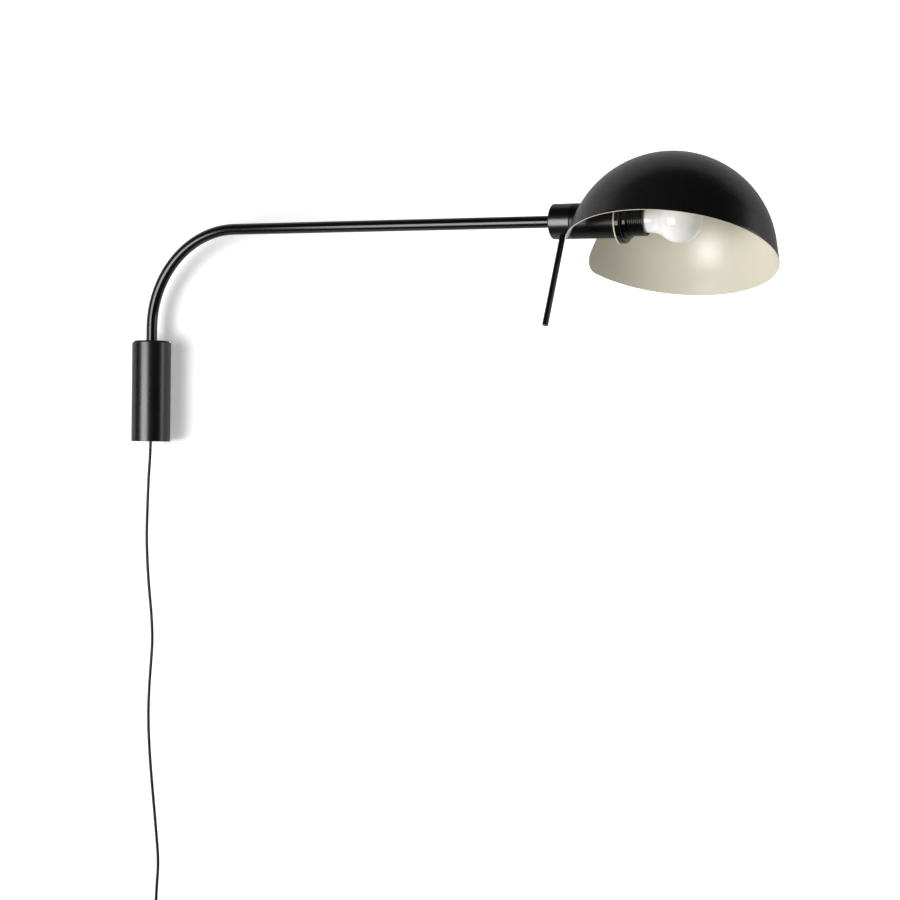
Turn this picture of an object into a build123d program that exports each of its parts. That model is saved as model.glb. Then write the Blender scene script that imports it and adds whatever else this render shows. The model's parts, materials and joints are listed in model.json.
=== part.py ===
from build123d import *
from math import cos, pi, radians, sin, sqrt, tan
import os

# Swing-arm wall sconce with a half-round metal shade on a bent tube arm.
# The origin is on the wall, behind the middle of the wall cylinder: +X runs along the wall,
# +Y into the wall and +Z up. The arm stands at the angle that the photograph shows.

# ---------------------------------------------------------------- driving sizes, in millimetres
TUBE_D = 15.0                # arm tube
TUBE_WALL = 1.5
ARM_AZIMUTH = 25.8           # degrees from the wall's plane towards the room
ARM_DROOP = 1.7              # degrees that the straight arm falls towards the shade
BEND_RADIUS = 132.0
BEND_START = 89.4            # height where the bend begins
ARM_STRAIGHT = 450.0

HOUSING_D = 54.0             # wall cylinder
HOUSING_WALL = 3.5
HOUSING_H = 141.0
PLATE_T = 3.0                # wall plate behind the cylinder
CAP_STEP_D = 48.6            # inset top cap, where it stands above the cylinder
CAP_STEP_H = 2.2

HEAD_D = 44.0                # head collar and holder tube
HEAD_START = 23.0            # from the swivel joint, along the head's axis
COLLAR_L = 27.7
COLLAR_GAP = 0.4             # shadow line between collar and holder tube
CLAMP_AT = 111.0             # face of the holder tube that the bracket is clamped to
ROD_D = 7.5
ROD_REACH = 143.0            # from the head's axis to the rod's end
ROD_AT = 38.6
SHADE_ROLL = 17.0            # degrees that the shade's opening is turned towards the room
ROD_ROLL = 5.0               # degrees that the rod is turned past the shade's middle

DOME_RADIUS = 125.7          # round part of the shade
DOME_DROP = 3.0              # its centre lies this far past the rim's plane
SKIRT_H = 27.0               # height above the rim where the straight skirt begins
RIM_RADIUS = 128.5
SHEET_T = 1.2
DOME_AT = 181.3              # middle of the rim along the head's axis, from the swivel joint
RIM_BELOW = 47.2             # rim's plane below the head's axis
NOTCH_HALF = 35.0
NOTCH_FOOT_R = 20.0
BRACKET_T = 1.5
BRACKET_R = 29.3
BRACKET_FLANGE = 11.0

RING_D = 57.6                # shade ring that clamps the bracket
RING_FLANGE_L = 7.0
RING_HUB_D = 46.0
RING_HUB_L = 5.5
SLEEVE_D = 40.0              # threaded outer sleeve of the lamp holder
SLEEVE_END = 145.2
SHELL_BORE_D = 27.0          # screw shell for an E27 bulb cap
BULB_D = 58.0
BULB_AT = 186.0              # centre of the bulb's ball along the head's axis
BULB_NECK_D = 32.4

CORD_D = 4.0
COIL_MEAN_R = 23.0
COIL_TURNS_PER_LAYER = 2
COIL_LAYERS = 4
COIL_PITCH = 4.7             # from one turn's middle to the next one's

# ---------------------------------------------------------------- clearances
SLIP = 0.1                   # still pieces that slide together once
RUN = 0.05                   # a shaft in its bush, all round
FACE = 0.3                   # faces that pass each other
EDGE = 0.4                   # broken edges of turned and sawn pieces
CABLE_D = 5.0

os.makedirs("parts", exist_ok=True)


def save(part, name):
    part.label = name
    export_step(part, f"parts/{name}.step")


# ---------------------------------------------------------------- derived places
tube_r = TUBE_D / 2
bore_r = tube_r - TUBE_WALL
housing_r = HOUSING_D / 2
inner_r = housing_r - HOUSING_WALL
standoff = housing_r + PLATE_T
top = HOUSING_H / 2
bottom = -HOUSING_H / 2
head_r = HEAD_D / 2
axis_foot = Vector(0, -standoff, 0)
swing = Plane(origin=axis_foot)                       # horizontal plane on the swing axis
out = Vector(cos(radians(ARM_AZIMUTH)), -sin(radians(ARM_AZIMUTH)), 0)
up = Vector(0, 0, 1)
arm_plane = Plane(origin=axis_foot, x_dir=out, z_dir=out.cross(up))
along = out * cos(radians(ARM_DROOP)) - up * sin(radians(ARM_DROOP))
bend_angle = 90 + ARM_DROOP
bend_end_x = BEND_RADIUS - BEND_RADIUS * cos(radians(bend_angle))
bend_end_z = BEND_START + BEND_RADIUS * sin(radians(bend_angle))
arm_end_x = bend_end_x + ARM_STRAIGHT * cos(radians(ARM_DROOP))
arm_end_z = bend_end_z - ARM_STRAIGHT * sin(radians(ARM_DROOP))
joint = axis_foot + out * arm_end_x + up * arm_end_z
print("swivel joint", [round(c, 3) for c in joint], "axis", [round(c, 5) for c in along])

# the head: z along its axis, y the way that the shade opens, x towards the room
level_side = Vector(sin(radians(ARM_AZIMUTH)), cos(radians(ARM_AZIMUTH)), 0)
plumb = along.cross(level_side)
if plumb.Z > 0:
    plumb = plumb * -1


def opening_at(roll):
    return plumb * cos(radians(roll)) - level_side * sin(radians(roll))


opening = opening_at(SHADE_ROLL)
head = Plane(origin=joint, x_dir=opening.cross(along), z_dir=along)
head_axis = Axis(joint, along)
profile_plane = Plane(origin=joint, x_dir=along, z_dir=along.cross(opening))
rod_plane = Plane(origin=joint + along * ROD_AT, x_dir=along, z_dir=opening_at(SHADE_ROLL + ROD_ROLL))
dome_plane = Plane(
    origin=joint + along * DOME_AT + opening * RIM_BELOW,
    x_dir=along,
    z_dir=along.cross(opening),
)
dome_axis = Axis(dome_plane.origin, opening)


def ring(plane, z0, z1, outer, inner=0):
    """A straight ring or disc between two heights over a plane."""
    with BuildPart() as made:
        with BuildSketch(plane.offset(z0)):
            Circle(outer)
            if inner:
                Circle(inner, mode=Mode.SUBTRACT)
        extrude(amount=z1 - z0)
    return made


# ================================================================ wall side
stud_z = 30.0
wall_screw_z = 52.0
wall_screw_d = 4.5
wall_sink_r = 4.3
plate_w = 24.0
plate_h = 126.0
plate_corner_r = 4.0
stud_d = 5.0
stud_head_d = 9.0
stud_head_t = 1.4
stud_l = PLATE_T + HOUSING_WALL - EDGE

with BuildPart() as wall_plate:
    with BuildSketch(Plane.XZ):
        RectangleRounded(plate_w, plate_h, plate_corner_r)
    extrude(amount=PLATE_T)
    with Locations(Plane(origin=(0, -PLATE_T, 0), x_dir=(1, 0, 0), z_dir=(0, -1, 0))):
        with Locations((0, wall_screw_z), (0, -wall_screw_z)):
            CounterSinkHole(wall_screw_d / 2, wall_sink_r)
    for z in (stud_z, -stud_z):
        with BuildSketch(Plane.XZ):
            with Locations((0, z - stud_head_d)):
                Circle(stud_head_d / 2 + FACE)
            with Locations((0, z - stud_head_d / 2)):
                Rectangle(stud_d + 2 * FACE, stud_head_d)
            with Locations((0, z)):
                Circle(stud_d / 2 + FACE)
        extrude(amount=PLATE_T, mode=Mode.SUBTRACT)
        with BuildSketch(Plane.XZ):
            with Locations((0, z - stud_head_d / 2)):
                SlotCenterToCenter(stud_head_d, stud_head_d + 2 * FACE, rotation=90)
        extrude(amount=stud_head_t + FACE, mode=Mode.SUBTRACT)
save(wall_plate.part, "wall_plate")

with BuildPart() as base_housing:
    with BuildSketch(swing.offset(bottom)):
        Circle(housing_r)
        Circle(inner_r, mode=Mode.SUBTRACT)
    extrude(amount=HOUSING_H - CAP_STEP_H)
    outer_rims = base_housing.edges().filter_by(GeomType.CIRCLE).sort_by(SortBy.RADIUS)[-2:]
    chamfer(outer_rims, EDGE)
    with Locations(Plane(origin=(0, 0, 0), x_dir=(1, 0, 0), z_dir=(0, 1, 0))):
        with Locations((0, stud_z), (0, -stud_z)):
            Cylinder(stud_d / 2 - SLIP, 2 * standoff, mode=Mode.SUBTRACT)
save(base_housing.part, "base_housing")

with BuildPart() as hanging_studs:
    for z in (stud_z, -stud_z):
        stud_plane = Plane(origin=(0, -stud_l, z), x_dir=(1, 0, 0), z_dir=(0, 1, 0))
        with BuildSketch(stud_plane):
            Circle(stud_d / 2 - 2 * SLIP)
        extrude(amount=stud_l - stud_head_t)
        with BuildSketch(stud_plane.offset(stud_l - stud_head_t)):
            Circle(stud_head_d / 2)
        extrude(amount=stud_head_t - SLIP)
save(hanging_studs.part, "hanging_studs")

# ---------------------------------------------------------------- top cap and upper bush
bush_r = 10.0
bush_flange_r = 12.0
bush_flange_t = 2.0
cap_spigot = 12.0
cap_seat = top - CAP_STEP_H
bush_below = 0.6             # the bush ends this far under the cap's top

with BuildPart() as top_cap:
    with BuildSketch(swing.offset(cap_seat - cap_spigot)):
        Circle(inner_r - SLIP)
    extrude(amount=cap_spigot)
    with BuildSketch(swing.offset(cap_seat)):
        Circle(CAP_STEP_D / 2)
    extrude(amount=CAP_STEP_H)
    chamfer(top_cap.edges().filter_by(GeomType.CIRCLE).group_by(Axis.Z)[-1], EDGE)
    with BuildSketch(swing.offset(cap_seat - cap_spigot)):
        Circle(bush_r + SLIP)
    extrude(amount=cap_spigot + CAP_STEP_H, mode=Mode.SUBTRACT)
save(top_cap.part, "top_cap")

with BuildPart() as upper_bush:
    with BuildSketch(swing.offset(cap_seat - cap_spigot - bush_flange_t)):
        Circle(bush_flange_r)
    extrude(amount=bush_flange_t)
    with BuildSketch(swing.offset(cap_seat - cap_spigot)):
        Circle(bush_r)
    extrude(amount=cap_spigot + CAP_STEP_H - bush_below)
    with BuildSketch(swing.offset(cap_seat - cap_spigot - bush_flange_t)):
        Circle(tube_r + RUN)
    extrude(amount=cap_spigot + bush_flange_t + CAP_STEP_H, mode=Mode.SUBTRACT)
save(upper_bush.part, "upper_bush")

# ---------------------------------------------------------------- lower bearing
carrier_top = -4.0
carrier_t = 10.0
carrier_screw_r = 2.0
side_hole_l = 8.0            # screw holes that go in from the cylinder's side
side_hole_past = 1.0         # how far they are cut past the cylinder's bore
side_screw_l = 5.0
thrust_t = 1.0
collar_h = 9.0
collar_r = 13.0
collar_grub_r = 2.0

with BuildPart() as bearing_carrier:
    with BuildSketch(swing.offset(carrier_top - carrier_t)):
        Circle(inner_r - SLIP)
        Circle(bush_r + SLIP, mode=Mode.SUBTRACT)
    extrude(amount=carrier_t)
    with Locations(swing.offset(carrier_top - carrier_t / 2)):
        for turn in (0, 120, 240):
            with Locations(Rotation(0, 0, turn + 90)):
                with Locations((inner_r + side_hole_past - side_hole_l / 2, 0, 0)):
                    Cylinder(carrier_screw_r, side_hole_l, rotation=(0, 90, 0), mode=Mode.SUBTRACT)
save(bearing_carrier.part, "bearing_carrier")

with BuildPart() as carrier_screws:
    with Locations(swing.offset(carrier_top - carrier_t / 2)):
        for turn in (0, 120, 240):
            with Locations(Rotation(0, 0, turn + 90)):
                with Locations((inner_r - SLIP - side_screw_l / 2, 0, 0)):
                    Cylinder(carrier_screw_r - SLIP, side_screw_l, rotation=(0, 90, 0))
save(carrier_screws.part, "carrier_screws")

with BuildPart() as lower_bush:
    with BuildSketch(swing.offset(carrier_top)):
        Circle(bush_flange_r)
    extrude(amount=bush_flange_t)
    with BuildSketch(swing.offset(carrier_top - carrier_t)):
        Circle(bush_r)
    extrude(amount=carrier_t)
    with BuildSketch(swing.offset(carrier_top - carrier_t)):
        Circle(tube_r + RUN)
    extrude(amount=carrier_t + bush_flange_t, mode=Mode.SUBTRACT)
save(lower_bush.part, "lower_bush")

thrust_z = carrier_top + bush_flange_t
thrust_washer = ring(swing, thrust_z, thrust_z + thrust_t, collar_r - EDGE, tube_r + FACE)
save(thrust_washer.part, "thrust_washer")

# ---------------------------------------------------------------- what turns with the arm
collar_z = thrust_z + thrust_t + RUN
tube_below = 7.0             # the tube's foot under the bearing carrier
tube_foot = carrier_top - carrier_t - tube_below
clip_gap = 0.3
clip_t = 1.1
clip_groove = 0.5
clip_w = 2.4                 # how far the circlip stands out of its tube
clip_mouth = 5.0
clip_z = carrier_top - carrier_t - clip_gap - clip_t

with BuildPart() as stop_collar:
    with BuildSketch(swing.offset(collar_z)):
        Circle(collar_r)
        Circle(tube_r + RUN, mode=Mode.SUBTRACT)
    extrude(amount=collar_h)
    chamfer(stop_collar.edges().filter_by(GeomType.CIRCLE).sort_by(SortBy.RADIUS)[-2:], EDGE)
    with Locations(swing.offset(collar_z + collar_h / 2)):
        with Locations(((tube_r + collar_r) / 2, 0, 0)):
            Cylinder(collar_grub_r, side_hole_l, rotation=(0, 90, 0), mode=Mode.SUBTRACT)
save(stop_collar.part, "stop_collar")

with BuildPart() as collar_grub_screw:
    with Locations(swing.offset(collar_z + collar_h / 2)):
        with Locations(((tube_r + collar_r) / 2, 0, 0)):
            Cylinder(collar_grub_r - SLIP, collar_r - tube_r - 2 * FACE, rotation=(0, 90, 0))
save(collar_grub_screw.part, "collar_grub_screw")

with BuildPart() as arm_tube:
    with BuildLine(arm_plane) as arm_line:
        l1 = Line((0, tube_foot), (0, BEND_START))
        l2 = CenterArc((BEND_RADIUS, BEND_START), BEND_RADIUS, 180, -bend_angle)
        l3 = Line((bend_end_x, bend_end_z), (arm_end_x, arm_end_z))
    with BuildSketch(swing.offset(tube_foot)):
        Circle(tube_r)
        Circle(bore_r, mode=Mode.SUBTRACT)
    sweep(path=arm_line.wires()[0])
    with BuildSketch(swing.offset(clip_z - SLIP)):
        Circle(tube_r + clip_groove)
        Circle(tube_r - clip_groove, mode=Mode.SUBTRACT)
    extrude(amount=clip_t + 2 * SLIP, mode=Mode.SUBTRACT)
save(arm_tube.part, "arm_tube")

with BuildPart() as arm_circlip:
    with BuildSketch(swing.offset(clip_z)):
        Circle(tube_r + clip_w)
        Circle(tube_r - clip_groove + RUN, mode=Mode.SUBTRACT)
        with Locations((tube_r + clip_w / 2, 0)):
            Rectangle(3 * clip_w, clip_mouth, mode=Mode.SUBTRACT)
    extrude(amount=clip_t)
save(arm_circlip.part, "arm_circlip")

end_bush_h = 12.0
end_bush_lip = 1.5
with BuildPart() as arm_end_bush:
    with BuildSketch(swing.offset(tube_foot - end_bush_lip)):
        Circle(tube_r)
    extrude(amount=end_bush_lip)
    with BuildSketch(swing.offset(tube_foot)):
        Circle(bore_r - RUN)
    extrude(amount=end_bush_h)
    with BuildSketch(swing.offset(tube_foot - end_bush_lip)):
        Circle(CABLE_D / 2 + FACE)
    extrude(amount=end_bush_h + end_bush_lip, mode=Mode.SUBTRACT)
save(arm_end_bush.part, "arm_end_bush")

# ---------------------------------------------------------------- foot of the housing
foot_t = 6.0
cap_screw_r = 1.5
grommet_r = 4.2
grommet_flange_r = 6.5
grommet_flange_t = 1.8
grommet_bore_r = CORD_D / 2 + SLIP
chassis_front = CORD_D
chassis_w = 20.0
chassis_t = 1.5
chassis_foot = 8.0
chassis_top = -29.0
block_w = 22.0
block_d = 11.0
block_h = 16.0
block_corner_r = 1.0
block_top = chassis_top - FACE
well_r = 1.6
well_depth = 4.0
well_across = 7.0
well_up = 8.0
terminal_screw_l = 2.4
clamp_w = 14.0
clamp_h = 6.0
clamp_z = -55.0
clamp_screw_r = 1.2
clamp_head_r = 2.1
clamp_screw_x = clamp_w / 2 - clamp_head_r - FACE

with BuildPart() as bottom_cap:
    with BuildSketch(swing.offset(bottom)):
        Circle(inner_r - SLIP)
        Circle(grommet_r + SLIP, mode=Mode.SUBTRACT)
    extrude(amount=foot_t)
    with Locations(swing.offset(bottom + foot_t / 2)):
        for turn in (0, 180):
            with Locations(Rotation(0, 0, turn)):
                with Locations((inner_r + side_hole_past - side_hole_l / 2, 0, 0)):
                    Cylinder(cap_screw_r, side_hole_l, rotation=(0, 90, 0), mode=Mode.SUBTRACT)
save(bottom_cap.part, "bottom_cap")

with BuildPart() as cap_screws:
    with Locations(swing.offset(bottom + foot_t / 2)):
        for turn in (0, 180):
            with Locations(Rotation(0, 0, turn)):
                with Locations((inner_r - SLIP - side_screw_l / 2, 0, 0)):
                    Cylinder(cap_screw_r - SLIP, side_screw_l, rotation=(0, 90, 0))
save(cap_screws.part, "cap_screws")

with BuildPart() as cord_grommet:
    with BuildSketch(swing.offset(bottom)):
        Circle(grommet_r)
    extrude(amount=foot_t)
    with BuildSketch(swing.offset(bottom + foot_t)):
        Circle(grommet_flange_r)
    extrude(amount=grommet_flange_t)
    with BuildSketch(swing.offset(bottom)):
        Circle(grommet_bore_r)
    extrude(amount=foot_t + grommet_flange_t, mode=Mode.SUBTRACT)
save(cord_grommet.part, "cord_grommet")

with BuildPart() as chassis:
    chassis_z0 = bottom + foot_t
    with BuildSketch(swing.offset(chassis_z0)):
        with Locations((0, chassis_front + chassis_t / 2)):
            Rectangle(chassis_w, chassis_t)
    extrude(amount=chassis_top - chassis_z0)
    with BuildSketch(swing.offset(chassis_z0)):
        with Locations((0, chassis_front + chassis_t + chassis_foot / 2)):
            Rectangle(chassis_w, chassis_foot)
    extrude(amount=chassis_t)
    with BuildSketch(swing.offset(chassis_z0)):
        Circle(grommet_flange_r + FACE)
    extrude(amount=grommet_flange_t + FACE, mode=Mode.SUBTRACT)
save(chassis.part, "chassis")

with BuildPart() as terminal_block:
    with BuildSketch(swing.offset(block_top - block_h)):
        with Locations((0, chassis_front - block_d / 2)):
            RectangleRounded(block_w, block_d, block_corner_r)
    extrude(amount=block_h)
    block_face = Plane(
        origin=(0, -standoff + chassis_front - block_d, block_top - block_h / 2),
        x_dir=(1, 0, 0),
        z_dir=(0, -1, 0),
    )
    with Locations(block_face):
        with GridLocations(well_across, well_up, 3, 2):
            Hole(well_r, well_depth)
save(terminal_block.part, "terminal_block")

with BuildPart() as terminal_screws:
    with BuildSketch(block_face.offset(SLIP - well_depth)):
        with GridLocations(well_across, well_up, 3, 2):
            Circle(well_r - SLIP)
    extrude(amount=terminal_screw_l)
save(terminal_screws.part, "terminal_screws")

clamp_front = Vector(0, -standoff - chassis_front, clamp_z + clamp_h / 2)
with BuildPart() as cord_clamp:
    with BuildSketch(swing.offset(clamp_z)):
        Rectangle(clamp_w, 2 * chassis_front)
        Circle(CORD_D / 2 + SLIP, mode=Mode.SUBTRACT)
    extrude(amount=clamp_h)
    with Locations(Plane(origin=clamp_front, x_dir=(1, 0, 0), z_dir=(0, -1, 0))):
        with Locations((clamp_screw_x, 0), (-clamp_screw_x, 0)):
            Hole(clamp_screw_r + SLIP)
save(cord_clamp.part, "cord_clamp")

with BuildPart() as clamp_screws:
    for side in (1, -1):
        face = Plane(
            origin=clamp_front + Vector(side * clamp_screw_x, 0, 0),
            x_dir=(1, 0, 0),
            z_dir=(0, 1, 0),
        )
        with BuildSketch(face.offset(-clamp_screw_r)):
            Circle(clamp_head_r)
        extrude(amount=clamp_screw_r)
        with BuildSketch(face):
            Circle(clamp_screw_r)
        extrude(amount=2 * chassis_front - 2 * SLIP)
save(clamp_screws.part, "clamp_screws")

# ================================================================ arm end and swivel
insert_l = 28.0
spigot_r = 4.0
stub_bore_r = CABLE_D / 2 + FACE
washer_t = 0.7
pin_over = 3.0
stub_clip_t = 1.0
stub_clip_mouth = 3.0
stub_clip_from = insert_l + pin_over / 2
thread_past_nut = 1.5
nut_half = 7.5               # half the stub nut's width across its flats
stub_thread_r = 5.0
face_t = 4.0
nut_t = 4.0

swivel_insert = ring(head, -insert_l, 0, bore_r - RUN, spigot_r + RUN)
save(swivel_insert.part, "swivel_insert")

swivel_washer = ring(head, RUN, RUN + washer_t, tube_r - 2 * FACE, spigot_r + SLIP)
save(swivel_washer.part, "swivel_washer")

with BuildPart() as swivel_stub:
    with BuildSketch(head.offset(-insert_l - pin_over)):
        Circle(spigot_r)
    extrude(amount=insert_l + pin_over + washer_t + 2 * RUN)
    with BuildSketch(head.offset(washer_t + 2 * RUN)):
        Circle(tube_r)
    extrude(amount=HEAD_START - washer_t - 2 * RUN)
    with BuildSketch(head.offset(HEAD_START)):
        Circle(stub_thread_r)
    extrude(amount=face_t + nut_t + thread_past_nut)
    with BuildSketch(head.offset(-stub_clip_from)):
        Circle(spigot_r + clip_groove)
        Circle(spigot_r - clip_groove, mode=Mode.SUBTRACT)
    extrude(amount=stub_clip_t + 2 * SLIP, mode=Mode.SUBTRACT)
    with BuildSketch(head.offset(-insert_l - pin_over)):
        Circle(stub_bore_r)
    extrude(amount=insert_l + pin_over + HEAD_START + face_t + nut_t + thread_past_nut, mode=Mode.SUBTRACT)
save(swivel_stub.part, "swivel_stub")

with BuildPart() as swivel_circlip:
    with BuildSketch(head.offset(SLIP - stub_clip_from)):
        Circle(bore_r - 2 * FACE)
        Circle(spigot_r - clip_groove + RUN, mode=Mode.SUBTRACT)
        with Locations((spigot_r, 0)):
            Rectangle(spigot_r, stub_clip_mouth, mode=Mode.SUBTRACT)
    extrude(amount=stub_clip_t)
save(swivel_circlip.part, "swivel_circlip")

# ================================================================ head
collar_wall = 3.0
collar_end = HEAD_START + COLLAR_L
joint_spigot = 6.0
collar_round = 1.2
rod_stud_r = 3.0
rod_stud_l = 8.3
tube_start = collar_end + COLLAR_GAP
grub_r = 1.4
grub_rolls = (-50, -140)     # both on the side of the wall
grub_planes = [
    Plane(
        origin=joint + along * (tube_start - joint_spigot / 2),
        x_dir=along,
        z_dir=opening_at(SHADE_ROLL + roll),
    )
    for roll in grub_rolls
]

with BuildPart() as head_collar:
    with BuildSketch(head.offset(HEAD_START)):
        Circle(head_r)
    extrude(amount=COLLAR_L)
    fillet(head_collar.edges().filter_by(GeomType.CIRCLE).sort_by(head_axis)[0], collar_round)
    chamfer(head_collar.edges().filter_by(GeomType.CIRCLE).sort_by(head_axis)[-1], EDGE)
    with BuildSketch(head.offset(HEAD_START + face_t)):
        Circle(head_r - collar_wall)
    extrude(amount=COLLAR_L - face_t, mode=Mode.SUBTRACT)
    with BuildSketch(head.offset(HEAD_START)):
        Circle(stub_thread_r + SLIP)
    extrude(amount=face_t, mode=Mode.SUBTRACT)
    with BuildSketch(rod_plane):
        Circle(rod_stud_r + SLIP)
    extrude(amount=HEAD_D, mode=Mode.SUBTRACT)
    for grub_plane in grub_planes:
        with BuildSketch(grub_plane.offset(head_r - collar_wall - SLIP)):
            Circle(grub_r + SLIP)
        extrude(amount=HEAD_D, mode=Mode.SUBTRACT)
save(head_collar.part, "head_collar")

with BuildPart() as stub_nut:
    with BuildSketch(head.offset(HEAD_START + face_t)):
        RegularPolygon(nut_half, 6, major_radius=False)
        Circle(stub_thread_r + SLIP, mode=Mode.SUBTRACT)
    extrude(amount=nut_t)
save(stub_nut.part, "stub_nut")

rod_spigot_end = head_r - rod_stud_l
with BuildPart() as aim_rod:
    with BuildSketch(rod_plane.offset(head_r + SLIP)):
        Circle(ROD_D / 2)
    extrude(amount=ROD_REACH - head_r - SLIP)
    rod_end = aim_rod.edges().filter_by(GeomType.CIRCLE).sort_by(Axis(rod_plane.origin, rod_plane.z_dir))[-1]
    chamfer(rod_end, EDGE)
    with BuildSketch(rod_plane.offset(rod_spigot_end)):
        Circle(rod_stud_r)
    extrude(amount=head_r + SLIP - rod_spigot_end)
save(aim_rod.part, "aim_rod")

rod_nut_r = 5.0
rod_nut_t = 4.0
rod_nut_seat = sqrt((head_r - collar_wall) ** 2 - (rod_nut_r / cos(radians(30))) ** 2) - SLIP
with BuildPart() as rod_nut:
    with BuildSketch(rod_plane.offset(rod_nut_seat - rod_nut_t)):
        RegularPolygon(rod_nut_r, 6, major_radius=False)
        Circle(rod_stud_r + SLIP, mode=Mode.SUBTRACT)
    extrude(amount=rod_nut_t)
save(rod_nut.part, "rod_nut")

holder_wall = 2.0
web_at = 66.0
web_t = 3.0
spigot_wall = 2.4
nipple_r = 5.0
tube_spigot_r = head_r - collar_wall - SLIP
with BuildPart() as holder_tube:
    with BuildSketch(head.offset(tube_start)):
        Circle(head_r)
    extrude(amount=CLAMP_AT - tube_start)
    with BuildSketch(head.offset(tube_start - joint_spigot)):
        Circle(tube_spigot_r)
    extrude(amount=joint_spigot)
    with BuildSketch(head.offset(tube_start - joint_spigot)):
        Circle(tube_spigot_r - spigot_wall)
    extrude(amount=web_at - tube_start + joint_spigot, mode=Mode.SUBTRACT)
    with BuildSketch(head.offset(web_at + web_t)):
        Circle(head_r - holder_wall)
    extrude(amount=CLAMP_AT - web_at - web_t, mode=Mode.SUBTRACT)
    with BuildSketch(head.offset(web_at)):
        Circle(nipple_r + SLIP)
    extrude(amount=web_t, mode=Mode.SUBTRACT)
    circles = holder_tube.edges().filter_by(GeomType.CIRCLE)
    outer_ends = circles.filter_by(lambda e: abs(e.radius - head_r) < RUN)
    chamfer(outer_ends, EDGE)
save(holder_tube.part, "holder_tube")

with BuildPart() as head_grub_screws:
    for grub_plane in grub_planes:
        with BuildSketch(grub_plane.offset(head_r - collar_wall)):
            Circle(grub_r)
        extrude(amount=collar_wall - EDGE)
save(head_grub_screws.part, "head_grub_screws")

# ---------------------------------------------------------------- lamp holder
cap_start = web_at + web_t
cap_end = 92.0
sleeve_r = SLEEVE_D / 2
sleeve_wall = 2.8
sleeve_bore_r = sleeve_r - sleeve_wall
holder_room = 1.0
holder_r = head_r - holder_wall - holder_room
nipple_below = 4.5           # the nipple's length under the web, and over it
nipple_above = 7.0
nipple_nut_t = 3.5
cap_foot_r = 9.0
cap_cone_l = 6.0
cap_wall = 2.0
cap_floor = 7.5
pin_hole_r = 1.6
pin_hole_x = 9.0

with BuildPart() as holder_nipple:
    with BuildSketch(head.offset(web_at - nipple_below)):
        Circle(nipple_r)
        Circle(CABLE_D / 2 + FACE, mode=Mode.SUBTRACT)
    extrude(amount=nipple_below + web_t + nipple_above)
save(holder_nipple.part, "holder_nipple")

with BuildPart() as nipple_nut:
    with BuildSketch(head.offset(web_at - nipple_nut_t)):
        RegularPolygon(nipple_above, 6, major_radius=False)
        Circle(nipple_r + SLIP, mode=Mode.SUBTRACT)
    extrude(amount=nipple_nut_t)
save(nipple_nut.part, "nipple_nut")

with BuildPart() as lampholder_cap:
    with BuildSketch(profile_plane):
        with BuildLine():
            Polyline(
                (cap_start, nipple_r + SLIP),
                (cap_start, cap_foot_r),
                (cap_start + cap_cone_l, holder_r),
                (cap_end, holder_r),
                (cap_end, holder_r - cap_wall),
                (cap_start + cap_floor, holder_r - cap_wall),
                (cap_start + cap_floor, nipple_r + SLIP),
                close=True,
            )
        make_face()
    revolve(axis=head_axis)
save(lampholder_cap.part, "lampholder_cap")

core_start = 94.0
core_end = 107.0
with BuildPart() as lampholder_sleeve:
    with BuildSketch(head.offset(cap_end)):
        Circle(holder_r)
        Circle(sleeve_bore_r, mode=Mode.SUBTRACT)
    extrude(amount=CLAMP_AT - cap_end)
    with BuildSketch(head.offset(CLAMP_AT)):
        Circle(sleeve_r)
        Circle(sleeve_bore_r, mode=Mode.SUBTRACT)
    extrude(amount=SLEEVE_END - CLAMP_AT)
    rims = lampholder_sleeve.edges().filter_by(GeomType.CIRCLE).sort_by(head_axis)[-2:]
    chamfer(rims, EDGE)
save(lampholder_sleeve.part, "lampholder_sleeve")

with BuildPart() as lampholder_core:
    with BuildSketch(head.offset(core_start)):
        Circle(sleeve_bore_r - SLIP)
    extrude(amount=core_end - core_start)
    with BuildSketch(head.offset(core_start)):
        with Locations((pin_hole_x, 0), (-pin_hole_x, 0)):
            Circle(pin_hole_r)
    extrude(amount=core_end - core_start, mode=Mode.SUBTRACT)
save(lampholder_core.part, "lampholder_core")

shell_t = 0.5
shell_end = 136.0
screw_shell = ring(head, core_end, shell_end, SHELL_BORE_D / 2 + shell_t, SHELL_BORE_D / 2)
save(screw_shell.part, "screw_shell")

contact_w = 6.0
contact_l = 18.0
contact_t = 0.8
with BuildPart() as holder_contact:
    with BuildSketch(head.offset(core_end)):
        RectangleRounded(contact_w, contact_l, contact_t)
    extrude(amount=contact_t)
save(holder_contact.part, "holder_contact")

ring_start = CLAMP_AT + BRACKET_T
ring_round = 2.6
hub_round = 1.0
with BuildPart() as shade_ring:
    with BuildSketch(head.offset(ring_start)):
        Circle(RING_D / 2)
    extrude(amount=RING_FLANGE_L)
    fillet(shade_ring.edges().filter_by(GeomType.CIRCLE).sort_by(head_axis)[-1], ring_round)
    with BuildSketch(head.offset(ring_start + RING_FLANGE_L)):
        Circle(RING_HUB_D / 2)
    extrude(amount=RING_HUB_L)
    fillet(shade_ring.edges().filter_by(GeomType.CIRCLE).sort_by(head_axis)[-1], hub_round)
    with BuildSketch(head.offset(ring_start)):
        Circle(sleeve_r + SLIP)
    extrude(amount=RING_FLANGE_L + RING_HUB_L, mode=Mode.SUBTRACT)
save(shade_ring.part, "shade_ring")

# ---------------------------------------------------------------- bulb
cap_foot = 110.0
cap_rim = 136.5
cap_r = SHELL_BORE_D / 2 - FACE
ball_r = BULB_D / 2
neck_r = BULB_NECK_D / 2
neck_flare = 5.0             # length of the cone between the bulb's cap and its neck
cap_foot_r_in = 6.0
cap_cone = 3.5
tip_r = 4.6
fair_r = 30.0
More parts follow.
